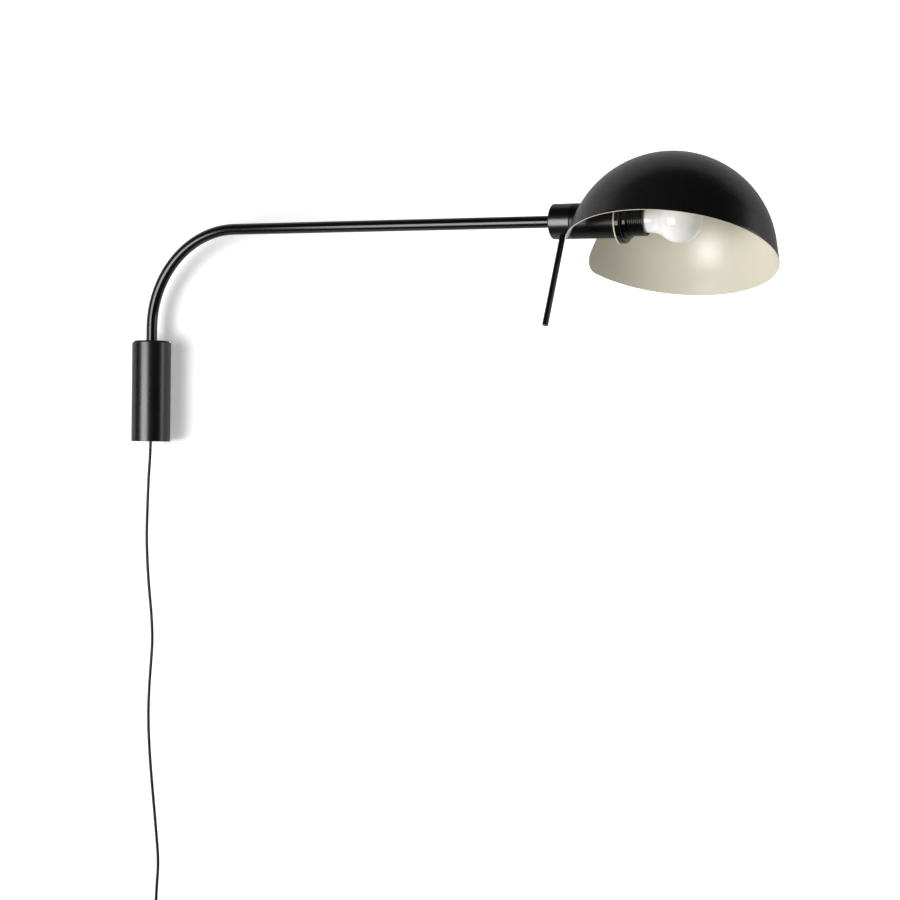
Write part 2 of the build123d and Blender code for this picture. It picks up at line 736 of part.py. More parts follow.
# the throat is an arc that is tangent to the straight neck and to the ball
throat_x = BULB_AT - sqrt((ball_r + fair_r) ** 2 - (neck_r + fair_r) ** 2)
share = ball_r / (ball_r + fair_r)
meet_x = BULB_AT + (throat_x - BULB_AT) * share
meet_y = (neck_r + fair_r) * share

with BuildPart() as bulb_cap:
    with BuildSketch(profile_plane):
        with BuildLine():
            Polyline(
                (cap_foot, 0),
                (cap_foot, cap_foot_r_in),
                (cap_foot + cap_cone, cap_r),
                (cap_rim, cap_r),
                (cap_rim, 0),
                close=True,
            )
        make_face()
    revolve(axis=head_axis)
save(bulb_cap.part, "bulb_cap")

bulb_contact = ring(head, core_end + contact_t, cap_foot, tip_r)
save(bulb_contact.part, "bulb_contact")

with BuildPart() as bulb_glass:
    with BuildSketch(profile_plane):
        with BuildLine():
            Line((cap_rim, 0), (cap_rim, cap_r))
            Line((cap_rim, cap_r), (cap_rim + neck_flare, neck_r))
            Line((cap_rim + neck_flare, neck_r), (throat_x, neck_r))
            RadiusArc((throat_x, neck_r), (meet_x, meet_y), fair_r)
            ThreePointArc(
                (meet_x, meet_y),
                (BULB_AT + ball_r * cos(radians(60)), ball_r * sin(radians(60))),
                (BULB_AT + ball_r, 0),
            )
            Line((BULB_AT + ball_r, 0), (cap_rim, 0))
        make_face()
    revolve(axis=head_axis)
save(bulb_glass.part, "bulb_glass")

# ---------------------------------------------------------------- shade
def dome_profile(inset):
    """Half section of the shade's wall, with the rim at height 0 and the crown above it."""
    r = DOME_RADIUS - inset
    z = SKIRT_H
    x = sqrt(r * r - (z + DOME_DROP) ** 2)
    rim = RIM_RADIUS - inset
    middle = radians(60)
    Line((0, 0), (rim, 0))
    Line((rim, 0), (x, -z))
    ThreePointArc((x, -z), (r * cos(middle), -r * sin(middle) + DOME_DROP), (0, -r + DOME_DROP))
    Line((0, -r + DOME_DROP), (0, 0))


with BuildPart() as shade:
    with BuildSketch(dome_plane):
        with BuildLine():
            dome_profile(0)
        make_face()
    revolve(axis=dome_axis)
    with BuildSketch(dome_plane):
        with BuildLine():
            dome_profile(SHEET_T)
        make_face()
    revolve(axis=dome_axis, mode=Mode.SUBTRACT)
    # the arched notch that lets the head in: its round top is centred on the head's axis
    notch_plane = Plane(origin=dome_plane.origin, x_dir=head.x_dir, z_dir=along * -1)
    notch_up = 1 if notch_plane.y_dir.dot(opening) < 0 else -1
    with BuildSketch(notch_plane.offset(RIM_RADIUS / 3)):
        with BuildLine():
            foot = NOTCH_HALF + NOTCH_FOOT_R
            spring = notch_up * RIM_BELOW
            foot_z = notch_up * NOTCH_FOOT_R
            below = -notch_up * NOTCH_FOOT_R
            ThreePointArc(
                (-NOTCH_HALF, spring),
                (0, spring + notch_up * NOTCH_HALF),
                (NOTCH_HALF, spring),
            )
            Line((NOTCH_HALF, spring), (NOTCH_HALF, foot_z))
            ThreePointArc(
                (NOTCH_HALF, foot_z),
                (foot - NOTCH_FOOT_R * cos(pi / 4), foot_z - notch_up * NOTCH_FOOT_R * sin(pi / 4)),
                (foot, 0),
            )
            Line((foot, 0), (foot, below))
            Line((foot, below), (-foot, below))
            Line((-foot, below), (-foot, 0))
            ThreePointArc(
                (-foot, 0),
                (-foot + NOTCH_FOOT_R * cos(pi / 4), foot_z - notch_up * NOTCH_FOOT_R * sin(pi / 4)),
                (-NOTCH_HALF, foot_z),
            )
            Line((-NOTCH_HALF, foot_z), (-NOTCH_HALF, spring))
        make_face()
    extrude(amount=RIM_RADIUS, mode=Mode.SUBTRACT)
save(shade.part, "shade")

# the bracket: a flat plate with a round foot, and a flange that follows the shade's inside
bracket_plane = head.offset(CLAMP_AT)
flange_w = BRACKET_R * 8 / 5
with BuildPart() as inner_ball:
    with BuildSketch(dome_plane):
        with BuildLine():
            dome_profile(SHEET_T + RUN)
        make_face()
    revolve(axis=dome_axis)
with BuildPart() as flange_core:
    with BuildSketch(dome_plane):
        with BuildLine():
            dome_profile(SHEET_T + RUN + BRACKET_T)
        make_face()
    revolve(axis=dome_axis)
with BuildPart() as flange_block:
    with BuildSketch(bracket_plane):
        with Locations((0, -RIM_RADIUS / 2)):
            Rectangle(flange_w, RIM_RADIUS)
    extrude(amount=BRACKET_FLANGE)
with BuildPart() as shade_bracket:
    with BuildSketch(bracket_plane):
        Circle(BRACKET_R)
        with Locations((0, -RIM_RADIUS / 2)):
            Rectangle(2 * BRACKET_R, RIM_RADIUS)
    extrude(amount=BRACKET_T)
    add(inner_ball.part, mode=Mode.INTERSECT)
    add((inner_ball.part - flange_core.part) & flange_block.part)
    with BuildSketch(bracket_plane):
        Circle(sleeve_r + 2 * SLIP)
    extrude(amount=BRACKET_T, mode=Mode.SUBTRACT)
save(shade_bracket.part, "shade_bracket")

# ================================================================ cables inside
with BuildPart() as arm_cable:
    cable_foot = block_top + FACE
    cable_end = ARM_STRAIGHT - insert_l - pin_over - 3 * FACE
    with BuildLine(arm_plane) as cable_line:
        Line((0, cable_foot), (0, BEND_START))
        CenterArc((BEND_RADIUS, BEND_START), BEND_RADIUS, 180, -bend_angle)
        Line(
            (bend_end_x, bend_end_z),
            (
                bend_end_x + cable_end * cos(radians(ARM_DROOP)),
                bend_end_z - cable_end * sin(radians(ARM_DROOP)),
            ),
        )
    with BuildSketch(swing.offset(cable_foot)):
        Circle(CABLE_D / 2)
    sweep(path=cable_line.wires()[0])
save(arm_cable.part, "arm_cable")

head_cable = ring(head, -insert_l - pin_over - FACE, core_start - FACE, CABLE_D / 2)
save(head_cable.part, "head_cable")

# ================================================================ cord, switch, coil and plug
# the hanging cord: x and z of its points, from the photograph
hang = [
    (0.0, -47.0),
    (0.0, -82.0),
    (-2.6, -122.0),
    (-3.6, -162.0),
    (-4.6, -204.0),
    (-3.0, -240.0),
    (-0.4, -276.0),
    (3.6, -314.0),
    (5.4, -350.0),
    (3.4, -384.0),
    (1.0, -420.0),
    (0.4, -462.0),
    (2.4, -502.0),
    (5.8, -544.0),
    (9.8, -584.0),
    (13.4, -622.0),
    (17.0, -662.0),
    (14.6, -698.0),
    (13.6, -730.0),
]
arc_share = 0.45


def corner_radii(points):
    """Each corner's arc takes arc_share of its shorter run."""
    radii = []
    for a, b, c in zip(points, points[1:], points[2:]):
        first, second = b - a, c - b
        turn = first.get_angle(second)
        radii.append(arc_share * min(first.length, second.length) / tan(radians(turn) / 2))
    return radii


cord_points = [Vector(x, -standoff, z) for x, z in hang]
radii = corner_radii(cord_points)
print("cord radii", [round(r) for r in radii])
with BuildPart() as cord:
    with BuildLine() as cord_line:
        FilletPolyline(*cord_points, radius=radii)
    with BuildSketch(Plane(origin=cord_points[0], z_dir=cord_points[1] - cord_points[0])):
        Circle(CORD_D / 2)
    sweep(path=cord_line.wires()[0])
cord_length = cord_line.wires()[0].length
cord_section = pi * CORD_D ** 2 / 4
cord_ratio = cord.part.volume / cord_section / cord_length
print("cord length", round(cord_length, 1), "volume ratio", round(cord_ratio, 5))
save(cord.part, "cord")

switch_w = 22.0
switch_l = 54.0
switch_t = 16.0
switch_corner_r = 7.0
switch_round = 3.0
pivot_forward = 1.0
rocker_stands = 1.6
rocker_back = 3.0
pivot_past = 2.2
switch_x, switch_top = hang[-1]
switch_z = switch_top - switch_l / 2
pivot_y = -standoff - pivot_forward
rocker_r = 9.0
rocker_w = 9.0
rocker_tilt = 8.0
window_half = rocker_r + EDGE
pivot_r = 1.5


def across_switch(left):
    """The plane square to the rocker's pivot, this far to the left of the switch's middle."""
    return Plane(origin=(switch_x - left, pivot_y, switch_z), x_dir=(0, 1, 0), z_dir=(1, 0, 0))


def switch_shell(sign, depth):
    """Half of the in-line switch's case, on one side of the cord's plane."""
    case_plane = Plane(origin=(switch_x, -standoff, switch_z), x_dir=(sign, 0, 0), z_dir=(0, sign, 0))
    with BuildPart() as half:
        with BuildSketch(case_plane):
            RectangleRounded(switch_w, switch_l, switch_corner_r)
        extrude(amount=depth)
        far = half.faces().sort_by(Axis.Y)[-1 if sign > 0 else 0]
        fillet(far.edges(), switch_round)
    return half


switch_back = switch_shell(1, switch_t / 2 - SLIP)
with BuildPart() as rocker_room:
    with BuildSketch(across_switch(rocker_w / 2 + FACE)):
        Circle(window_half)
    extrude(amount=rocker_w + 2 * FACE)
switch_front = switch_shell(-1, switch_t / 2)
with BuildPart() as pivot_bar:
    with BuildSketch(across_switch(rocker_w / 2 + pivot_past + FACE)):
        Circle(pivot_r + RUN)
    extrude(amount=rocker_w + 2 * (pivot_past + FACE))
save(switch_back.part - rocker_room.part - pivot_bar.part, "switch_back")
save(switch_front.part - rocker_room.part - pivot_bar.part, "switch_front")

with BuildPart() as switch_rocker:
    front = switch_t / 2 - pivot_forward + rocker_stands
    with BuildSketch(across_switch(rocker_w / 2)):
        Circle(rocker_r)
        with BuildLine(mode=Mode.PRIVATE) as face_line:
            slope = tan(radians(rocker_tilt))
            Polyline(
                (rocker_back, -rocker_r),
                (-front + rocker_r * slope, -rocker_r),
                (-front, 0),
                (-front + rocker_r * slope, rocker_r),
                (rocker_back, rocker_r),
                close=True,
            )
        add(make_face(face_line.edges(), mode=Mode.PRIVATE), mode=Mode.INTERSECT)
    extrude(amount=rocker_w)
    with BuildSketch(across_switch(rocker_w / 2 + pivot_past)):
        Circle(pivot_r)
    extrude(amount=rocker_w + 2 * pivot_past)
tilted = switch_rocker.part.rotate(Axis((switch_x, pivot_y, switch_z), (1, 0, 0)), rocker_tilt)
save(tilted, "switch_rocker")

# ---------------------------------------------------------------- coil
coil_turns = COIL_LAYERS * COIL_TURNS_PER_LAYER
outer_turn_r = COIL_MEAN_R + COIL_PITCH * COIL_TURNS_PER_LAYER / 2
lead = outer_turn_r + CORD_D
coil_z = switch_z - switch_l / 2 - lead
coil_centre = Vector(switch_x + outer_turn_r, -standoff, coil_z)
climb = 1 / 4                # part of a turn that steps halfway to the next layer


def coil_point(turns):
    """A point of the coil: each layer spirals in or out, and climbs in its last half turn."""
    layer = min(int(turns / COIL_TURNS_PER_LAYER + 1e-9), COIL_LAYERS - 1)
    part = turns / COIL_TURNS_PER_LAYER - layer
    swing_in = part if layer % 2 == 0 else 1 - part
    radius = outer_turn_r - COIL_PITCH * COIL_TURNS_PER_LAYER * swing_in
    left = (layer + 1) * COIL_TURNS_PER_LAYER - turns
    climbed = layer
    if left < climb and layer < COIL_LAYERS - 1:
        climbed = layer + (1 - left / climb) / 2
    started = turns - layer * COIL_TURNS_PER_LAYER
    if started < climb and layer > 0:
        climbed = layer - (1 - started / climb) / 2
    angle = pi + 2 * pi * turns
    return Vector(
        coil_centre.X + radius * cos(angle),
        coil_centre.Y - COIL_PITCH * climbed,
        coil_centre.Z + radius * sin(angle),
    )


def coil_heading(turns):
    step = 1e-4
    low = max(turns - step, 0)
    high = min(turns + step, float(coil_turns))
    return (coil_point(high) - coil_point(low)).normalized()


QUARTERS = 4
knots = [i / QUARTERS for i in range(coil_turns * QUARTERS + 1)]
headings = [coil_heading(t) for t in knots]
headings[0] = Vector(0, 0, -1)
headings[-1] = Vector(0, 0, -1)
with BuildPart() as cord_coil:
    with BuildLine() as coil_line:
        Line(coil_point(0) + Vector(0, 0, lead), coil_point(0))
        for (t0, h0), (t1, h1) in zip(zip(knots, headings), zip(knots[1:], headings[1:])):
            start, end = coil_point(t0), coil_point(t1)
            chord = end - start
            both = h0 + h1
            a = 2 * (1 - h0.dot(h1))
            b = 2 * chord.dot(both)
            c = -chord.dot(chord)
            reach = (-b + sqrt(b * b - 4 * a * c)) / (2 * a) if a > 1e-9 else -c / b
            middle = (start + end) / 2 + (h0 - h1) * (reach / 2)
            TangentArc(start, middle, tangent=h0)
            TangentArc(middle, end, tangent=h1 * -1, tangent_from_first=False)
        coil_end = coil_point(coil_turns)
        Line(coil_end, coil_end - Vector(0, 0, lead))
    with BuildSketch(Plane(origin=coil_point(0) + Vector(0, 0, lead), z_dir=(0, 0, -1))):
        Circle(CORD_D / 2)
    sweep(path=coil_line.wires()[0])
coil_length = coil_line.wires()[0].length
coil_ratio = cord_coil.part.volume / cord_section / coil_length
print("coil length", round(coil_length, 1), "volume ratio", round(coil_ratio, 5))
per_turn = 72
samples = [coil_point(i / per_turn) for i in range(coil_turns * per_turn + 1)]
apart = min(
    (samples[i] - samples[j]).length
    for i in range(len(samples))
    for j in range(i + per_turn // 2, len(samples))
)
print("coil least gap to itself", round(apart - CORD_D, 2))
save(cord_coil.part, "cord_coil")

bundle_in = COIL_MEAN_R - COIL_PITCH * COIL_TURNS_PER_LAYER / 2 - CORD_D / 2 - FACE
bundle_out = outer_turn_r + CORD_D / 2 + FACE
bundle_deep = COIL_PITCH * (COIL_LAYERS - 1) + CORD_D + 2 * FACE
tie_t = 0.8
tie_w = 9.0
tie_round = 2.0
tie_mid = coil_centre + Vector((bundle_in + bundle_out) / 2, -COIL_PITCH * (COIL_LAYERS - 1) / 2, 0)
with BuildPart() as coil_tie:
    with BuildSketch(Plane(origin=tie_mid - Vector(0, 0, tie_w / 2))):
        RectangleRounded(bundle_out - bundle_in + 2 * tie_t, bundle_deep + 2 * tie_t, tie_round)
        RectangleRounded(bundle_out - bundle_in, bundle_deep, tie_round - tie_t, mode=Mode.SUBTRACT)
    extrude(amount=tie_w)
save(coil_tie.part, "coil_tie")

plug_top = coil_end.Z - lead
plug_l = 36.0
plug_w = 34.0
plug_t = 13.4
plug_corner_r = 6.0
neck_l = 10.0                # from the cord to the plug's shoulder, and from there to its full width
neck_w = 20.0
neck_t = 12.0
neck_corner_r = 5.0
neck_start_r = 4.0
pin_r = 2.0
pin_l = 19.0
pin_x = 9.5
plug_plane = Plane(origin=(coil_end.X, coil_end.Y, plug_top), x_dir=(1, 0, 0), z_dir=(0, 0, -1))
with BuildPart() as plug_body:
    with BuildSketch(plug_plane):
        Circle(neck_start_r)
    with BuildSketch(plug_plane.offset(neck_l)):
        RectangleRounded(neck_w, neck_t, neck_corner_r)
    with BuildSketch(plug_plane.offset(2 * neck_l)):
        RectangleRounded(plug_w, plug_t, plug_corner_r)
    loft(ruled=True)
    with BuildSketch(plug_plane.offset(2 * neck_l)):
        RectangleRounded(plug_w, plug_t, plug_corner_r)
    extrude(amount=plug_l - 2 * neck_l)
save(plug_body.part, "plug_body")

with BuildPart() as plug_pins:
    with BuildSketch(plug_plane.offset(plug_l)):
        with Locations((pin_x, 0), (-pin_x, 0)):
            Circle(pin_r)
    extrude(amount=pin_l)
    fillet(plug_pins.edges().filter_by(GeomType.CIRCLE).group_by(Axis.Z)[0], pin_r / 2)
save(plug_pins.part, "plug_pins")

print("total cord", round(cord_length + switch_l + coil_length, 1))
print("plug end z", round(plug_top - plug_l - pin_l, 1))
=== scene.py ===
import json
import bpy
import numpy as np
from math import acos, cos, pi, radians, sin, sqrt, tan
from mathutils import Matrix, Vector


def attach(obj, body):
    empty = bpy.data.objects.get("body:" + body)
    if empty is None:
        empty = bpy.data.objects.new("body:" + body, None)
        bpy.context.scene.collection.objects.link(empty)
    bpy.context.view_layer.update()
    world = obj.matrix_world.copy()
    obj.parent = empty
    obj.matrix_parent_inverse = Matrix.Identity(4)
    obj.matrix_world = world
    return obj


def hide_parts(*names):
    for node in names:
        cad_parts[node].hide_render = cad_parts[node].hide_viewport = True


# Swing-arm wall light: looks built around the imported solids. Shapes are in millimetres here
# and become metres in put_mesh; the frame is the solids' own: the wall is y = 0, z is up.
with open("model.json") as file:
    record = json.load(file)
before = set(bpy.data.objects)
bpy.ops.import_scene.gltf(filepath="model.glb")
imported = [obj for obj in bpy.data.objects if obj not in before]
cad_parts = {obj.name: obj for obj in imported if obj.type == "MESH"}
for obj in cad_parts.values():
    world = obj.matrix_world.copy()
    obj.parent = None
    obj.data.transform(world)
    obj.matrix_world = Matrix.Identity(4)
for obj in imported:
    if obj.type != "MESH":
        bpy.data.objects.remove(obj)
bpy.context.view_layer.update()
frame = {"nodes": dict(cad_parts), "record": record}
nodes = frame["nodes"]
MM = 0.001
TURN = 2 * pi
scene = bpy.context.scene

# ------------------------------------------------------------------ camera
CAMERA_AT = (0.42146, -2.32528, -0.07835)
LENS = 65.21
FILM_W = 36.0
LEAN = 0.58                       # degrees that the camera leans to its left
camera_data = bpy.data.cameras.new("camera")
camera_data.lens = LENS
camera_data.sensor_width = FILM_W
camera = bpy.data.objects.new("camera", camera_data)
camera.location = CAMERA_AT
camera.rotation_euler = (radians(90), radians(-LEAN), 0)
scene.collection.objects.link(camera)
scene.camera = camera
scene.view_settings.view_transform = "Standard"

# ------------------------------------------------------------------ the head's own directions
JOINT = np.array([527.333, -284.923, 207.992])       # swivel between the arm and the head
ALONG = np.array([0.89992, -0.43504, -0.02967])      # the head's axis, away from the arm
ALONG /= np.linalg.norm(ALONG)
ARM_AZIMUTH = radians(25.8)
LEVEL_SIDE = np.array([sin(ARM_AZIMUTH), cos(ARM_AZIMUTH), 0.0])
PLUMB = np.cross(ALONG, LEVEL_SIDE)
PLUMB *= -np.sign(PLUMB[2])
SHADE_ROLL = radians(17.0)
OPENING = PLUMB * cos(SHADE_ROLL) - LEVEL_SIDE * sin(SHADE_ROLL)     # where the shade opens
TO_ROOM = np.cross(OPENING, ALONG)


# ------------------------------------------------------------------ meshes from grids
def strip_faces(rows, columns, round_rows=False):
    """Quads between neighbouring rows of a grid whose last column meets its first.

    The face at row i and column j joins points (i, j), (i, j + 1), (i + 1, j + 1), (i + 1, j).
    With round_rows the last row also meets the first."""
    i = np.arange(rows if round_rows else rows - 1)[:, None]
    j = np.arange(columns)[None, :]
    below, right = (i + 1) % rows, (j + 1) % columns
    quad = [i * columns + j, i * columns + right, below * columns + right, below * columns + j]
    return np.stack(np.broadcast_arrays(*quad), axis=-1).reshape(-1, 4)


def put_mesh(name, points, quads, triangles=None):
    """A smooth mesh object at the origin from whole arrays of points and faces."""
    loops, counts = [quads.ravel()], [np.full(len(quads), 4)]
    if triangles is not None:
        loops.append(triangles.ravel())
        counts.append(np.full(len(triangles), 3))
    loops = np.concatenate(loops).astype(np.int32)
    counts = np.concatenate(counts)
    starts = np.concatenate([[0], np.cumsum(counts)[:-1]]).astype(np.int32)
    mesh = bpy.data.meshes.new(name)
    mesh.vertices.add(len(points))
    mesh.vertices.foreach_set("co", (np.asarray(points) * MM).astype(np.float32).ravel())
    mesh.loops.add(len(loops))
    mesh.loops.foreach_set("vertex_index", loops)
    mesh.polygons.add(len(counts))
    mesh.polygons.foreach_set("loop_start", starts)
    mesh.update(calc_edges=True)
    mesh.validate()
    mesh.polygons.foreach_set("use_smooth", np.ones(len(counts), dtype=bool))
    made = bpy.data.objects.new(name, mesh)
    scene.collection.objects.link(made)
    return made


def put_capped(name, grid, first_pole, last_pole, flip=False):
    """A grid of rings that closes in a fan of triangles round a pole at each end.

    Its faces turn the other way with flip, so that they point outwards."""
    rows, columns = grid.shape[:2]
    j = np.arange(columns)
    right = (j + 1) % columns
    last, start = (rows - 1) * columns, rows * columns
    fans = np.concatenate([
        np.stack([np.full(columns, start), right, j], axis=-1),
        np.stack([np.full(columns, start + 1), last + j, last + right], axis=-1),
    ])
    points = np.concatenate([grid.reshape(-1, 3), [first_pole], [last_pole]])
    quads = strip_faces(rows, columns)
    if flip:
        quads, fans = quads[:, ::-1], fans[:, ::-1]
    return put_mesh(name, points, quads, fans)


ARC_REACH = 0.42      # the most of a run that one corner's arc may take
GUARD_SHARE = 0.35    # a guard point's distance from its arc, as a share of the arc's reach


def round_corners(profile, radius, steps):
    """An outline whose corners become arcs.

    Each corner gives points on a circle arc that touches both its runs, and one guard point
    on each run just outside the arc, so that flat faces stay flat under smooth shading.
    profile rows are (place, distance, wanted radius or nan for the common one)."""
    out = [profile[0, :2]]
    for before, here, after in zip(profile, profile[1:], profile[2:]):
        a, b = before[:2] - here[:2], after[:2] - here[:2]
        length_a, length_b = np.linalg.norm(a), np.linalg.norm(b)
        a, b = a / length_a, b / length_b
        half = acos(float(np.clip(a @ b, -1, 1))) / 2
        wanted = radius if np.isnan(here[2]) else here[2]
        reach = min(wanted / tan(half), ARC_REACH * length_a, ARC_REACH * length_b)
        middle = (a + b) / np.linalg.norm(a + b)
        centre = here[:2] + middle * (reach * tan(half) / sin(half))
        first, last = here[:2] + a * reach - centre, here[:2] + b * reach - centre
        share = np.linspace(0, 1, steps + 1)[:, None]
        span = pi - 2 * half
        arc = (np.sin((1 - share) * span) * first + np.sin(share * span) * last) / sin(span)
        guard = (1 + GUARD_SHARE) * reach
        out.append(here[:2] + a * guard)
        out.extend(centre + arc)
        out.append(here[:2] + b * guard)
    out.append(profile[-1, :2])
    return np.array(out)


def outline(*rows):
    """Outline rows of (place, distance) or (place, distance, radius)."""
    return np.array([(*row, np.nan)[:3] for row in rows])


def turned(name, profile, columns, dip=None):
    """A body turned on the head's axis: every profile point (place, distance) goes round it.

    Point (i, j) is JOINT + place_i * ALONG + distance_ij * (TO_ROOM * cos a_j + other * sin a_j),
    with a_j = TURN * j / columns. dip(place, angle) is added to the distance. An end on the
    axis becomes one pole point with a fan of triangles."""
    other = np.cross(ALONG, TO_ROOM)
    angle = np.arange(columns) * TURN / columns
    place, distance = profile[:, :1], profile[:, 1:]
    distance = distance + (0 if dip is None else dip(place, angle[None, :]))
    distance = np.broadcast_to(distance, (len(profile), columns))
    ray = np.cos(angle)[:, None] * TO_ROOM + np.sin(angle)[:, None] * other
    grid = JOINT + place[..., None] * ALONG + distance[..., None] * ray
    if np.allclose(profile[0], profile[-1]):
        quads = strip_faces(len(profile) - 1, columns, round_rows=True)
        return put_mesh(name, grid[:-1].reshape(-1, 3), quads)
    return put_capped(name, grid[1:-1], grid[0, 0], grid[-1, 0])


# ------------------------------------------------------------------ supply cord
CORD_D = 4.0
CORD_Y = -30.0
HANG = [                          # (x, z) down the cord's hanging run, to the switch
    (0.0, -47.0), (0.0, -82.0), (-2.6, -122.0), (-3.6, -162.0), (-4.6, -204.0),
    (-3.0, -240.0), (-0.4, -276.0), (3.6, -314.0), (5.4, -350.0), (3.4, -384.0),
    (1.0, -420.0), (0.4, -462.0), (2.4, -502.0), (5.8, -544.0), (9.8, -584.0),
    (13.4, -622.0), (17.0, -662.0), (14.6, -698.0), (13.6, -730.0),
]
SWITCH_L = 54.0
COIL_MEAN_R = 23.0
COIL_PITCH = 4.7                  # from one turn's middle to the next one's
TURNS_PER_LAYER = 2
LAYERS = 4
POINTS_PER_TURN = 20
CLIMB_TURNS = 0.25                # half a layer's step is climbed over this part of a turn
OUTER_TURN_R = COIL_MEAN_R + COIL_PITCH * TURNS_PER_LAYER / 2
LEAD = OUTER_TURN_R + CORD_D      # straight run into and out of the coil
SWITCH_X, SWITCH_TOP = HANG[-1]
SWITCH_FOOT = SWITCH_TOP - SWITCH_L
COIL_X = SWITCH_X + OUTER_TURN_R
COIL_Z = SWITCH_FOOT - LEAD


def coil_points():
    """The coil's control points: angle grows evenly, and each layer spirals in or out.

    The radius is a zigzag of the turns between the outer and the inner turn, and the layer
    steps towards the room in the last and first CLIMB_TURNS of neighbouring layers."""
    count = np.arange(LAYERS * TURNS_PER_LAYER * POINTS_PER_TURN + 1)
    turns = count / POINTS_PER_TURN
    layer = np.minimum(count // (TURNS_PER_LAYER * POINTS_PER_TURN), LAYERS - 1)
    part = turns / TURNS_PER_LAYER - layer
    way_in = np.where(layer % 2 == 0, part, 1 - part)
    radius = OUTER_TURN_R - COIL_PITCH * TURNS_PER_LAYER * way_in
    started = turns - layer * TURNS_PER_LAYER
    left = TURNS_PER_LAYER - started
    up = np.where((left < CLIMB_TURNS) & (layer < LAYERS - 1), (1 - left / CLIMB_TURNS) / 2, 0)
    down = np.where((started < CLIMB_TURNS) & (layer > 0), (1 - started / CLIMB_TURNS) / 2, 0)
    angle = pi + TURN * turns
    return np.stack([
        COIL_X + radius * np.cos(angle),
        CORD_Y - COIL_PITCH * (layer + up - down),
        COIL_Z + radius * np.sin(angle),
    ], axis=-1)


def cord_route():
    """The route's own points: hanging run, switch, coil and tail to the plug, in metres."""
    hang = np.array([(x, CORD_Y, z) for x, z in HANG])
    switch_heights = (SWITCH_TOP - SWITCH_L / 2, SWITCH_FOOT, COIL_Z + LEAD / 2)
    through = np.array([(SWITCH_X, CORD_Y, z) for z in switch_heights])
    coil = coil_points()
    tail = coil[-1] - [(0, 0, LEAD / 2), (0, 0, LEAD)]
    return np.concatenate([hang, through, coil, tail]) * MM


def spline_points(route):
    """Points along the NURBS spline whose control points are the route's own."""
    curve = bpy.data.curves.new("cord_line", "CURVE")
    curve.dimensions = "3D"
    curve.resolution_u = 6
    spline = curve.splines.new("NURBS")
    spline.points.add(len(route) - 1)
    spline.points.foreach_set("co", np.c_[route, np.ones(len(route))].ravel())
    spline.order_u = 3
    spline.use_endpoint_u = True
    line = bpy.data.objects.new("cord_line", curve)
    mesh = bpy.data.meshes.new_from_object(line)
    found = np.empty(len(mesh.vertices) * 3)
    mesh.vertices.foreach_get("co", found)
    bpy.data.meshes.remove(mesh)
    bpy.data.objects.remove(line)
    bpy.data.curves.remove(curve)
    return found.reshape(-1, 3)


def make_cord(line, columns=18):
    """A round tube along the line, which never runs along Y.

    Point (i, j) is line_i + r * (side_i * cos a_j + other_i * sin a_j), where side is square to
    the run and to Y, and other is square to both. Its ends close in a pole each."""
    run = np.gradient(line, axis=0)
    run /= np.linalg.norm(run, axis=1, keepdims=True)
    side = np.cross(run, (0.0, 1.0, 0.0))
    side /= np.linalg.norm(side, axis=1, keepdims=True)
    other = np.cross(side, run)
    angle = np.arange(columns) * TURN / columns
    ray = np.cos(angle)[:, None] * side[:, None] + np.sin(angle)[:, None] * other[:, None]
    grid = line[:, None] / MM + CORD_D / 2 * ray
    return put_capped("supply_cord", grid, line[0] / MM, line[-1] / MM, flip=True)


cord_line = spline_points(cord_route())
supply_cord = make_cord(cord_line)
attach(supply_cord, "base")
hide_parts("cord", "cord_coil")

# ------------------------------------------------------------------ shade
DOME_R = 125.7
DOME_DROP = 3.0                   # the round part's centre lies this far past the rim's plane
SKIRT_H = 27.0
RIM_R = 128.5
SHEET_T = 1.2
DOME_AT = 181.3                   # middle of the rim along the head's axis
RIM_BELOW = 47.2                  # rim's plane below the head's axis
NOTCH_HALF = 35.0
NOTCH_FOOT_R = 20.0
ARCH_STEPS, SIDE_STEPS, FOOT_STEPS, RIM_STEPS = 90, 50, 24, 200
BLACK_OF_LIP = 0.1                # share of the rolled lip that keeps the outer coat
SKIRT_LEAN = acos((SKIRT_H + DOME_DROP) / DOME_R)     # angle from the crown where the skirt begins
SKIRT_TOP_R = DOME_R * sin(SKIRT_LEAN)
ROUND_RUN = DOME_R * SKIRT_LEAN
ROUND_SHARE = ROUND_RUN / (ROUND_RUN + float(np.hypot(SKIRT_H, RIM_R - SKIRT_TOP_R)))


def wall_place(reach, inset):
    """A point of the shade's wall, by the share of the way from the crown to the rim.

    Up to ROUND_SHARE the wall is an arc of radius DOME_R - inset, and then a straight skirt
    to the rim. Gives (distance from the shade's axis, height over the rim)."""
    radius = DOME_R - inset
    lean = np.minimum(reach / ROUND_SHARE, 1.0) * SKIRT_LEAN
    down = np.clip((reach - ROUND_SHARE) / (1 - ROUND_SHARE), 0.0, 1.0)
    far = radius * np.sin(lean)
    high = radius * np.cos(lean) - DOME_DROP
    return far + (RIM_R - inset - far) * down, high * (1 - down)


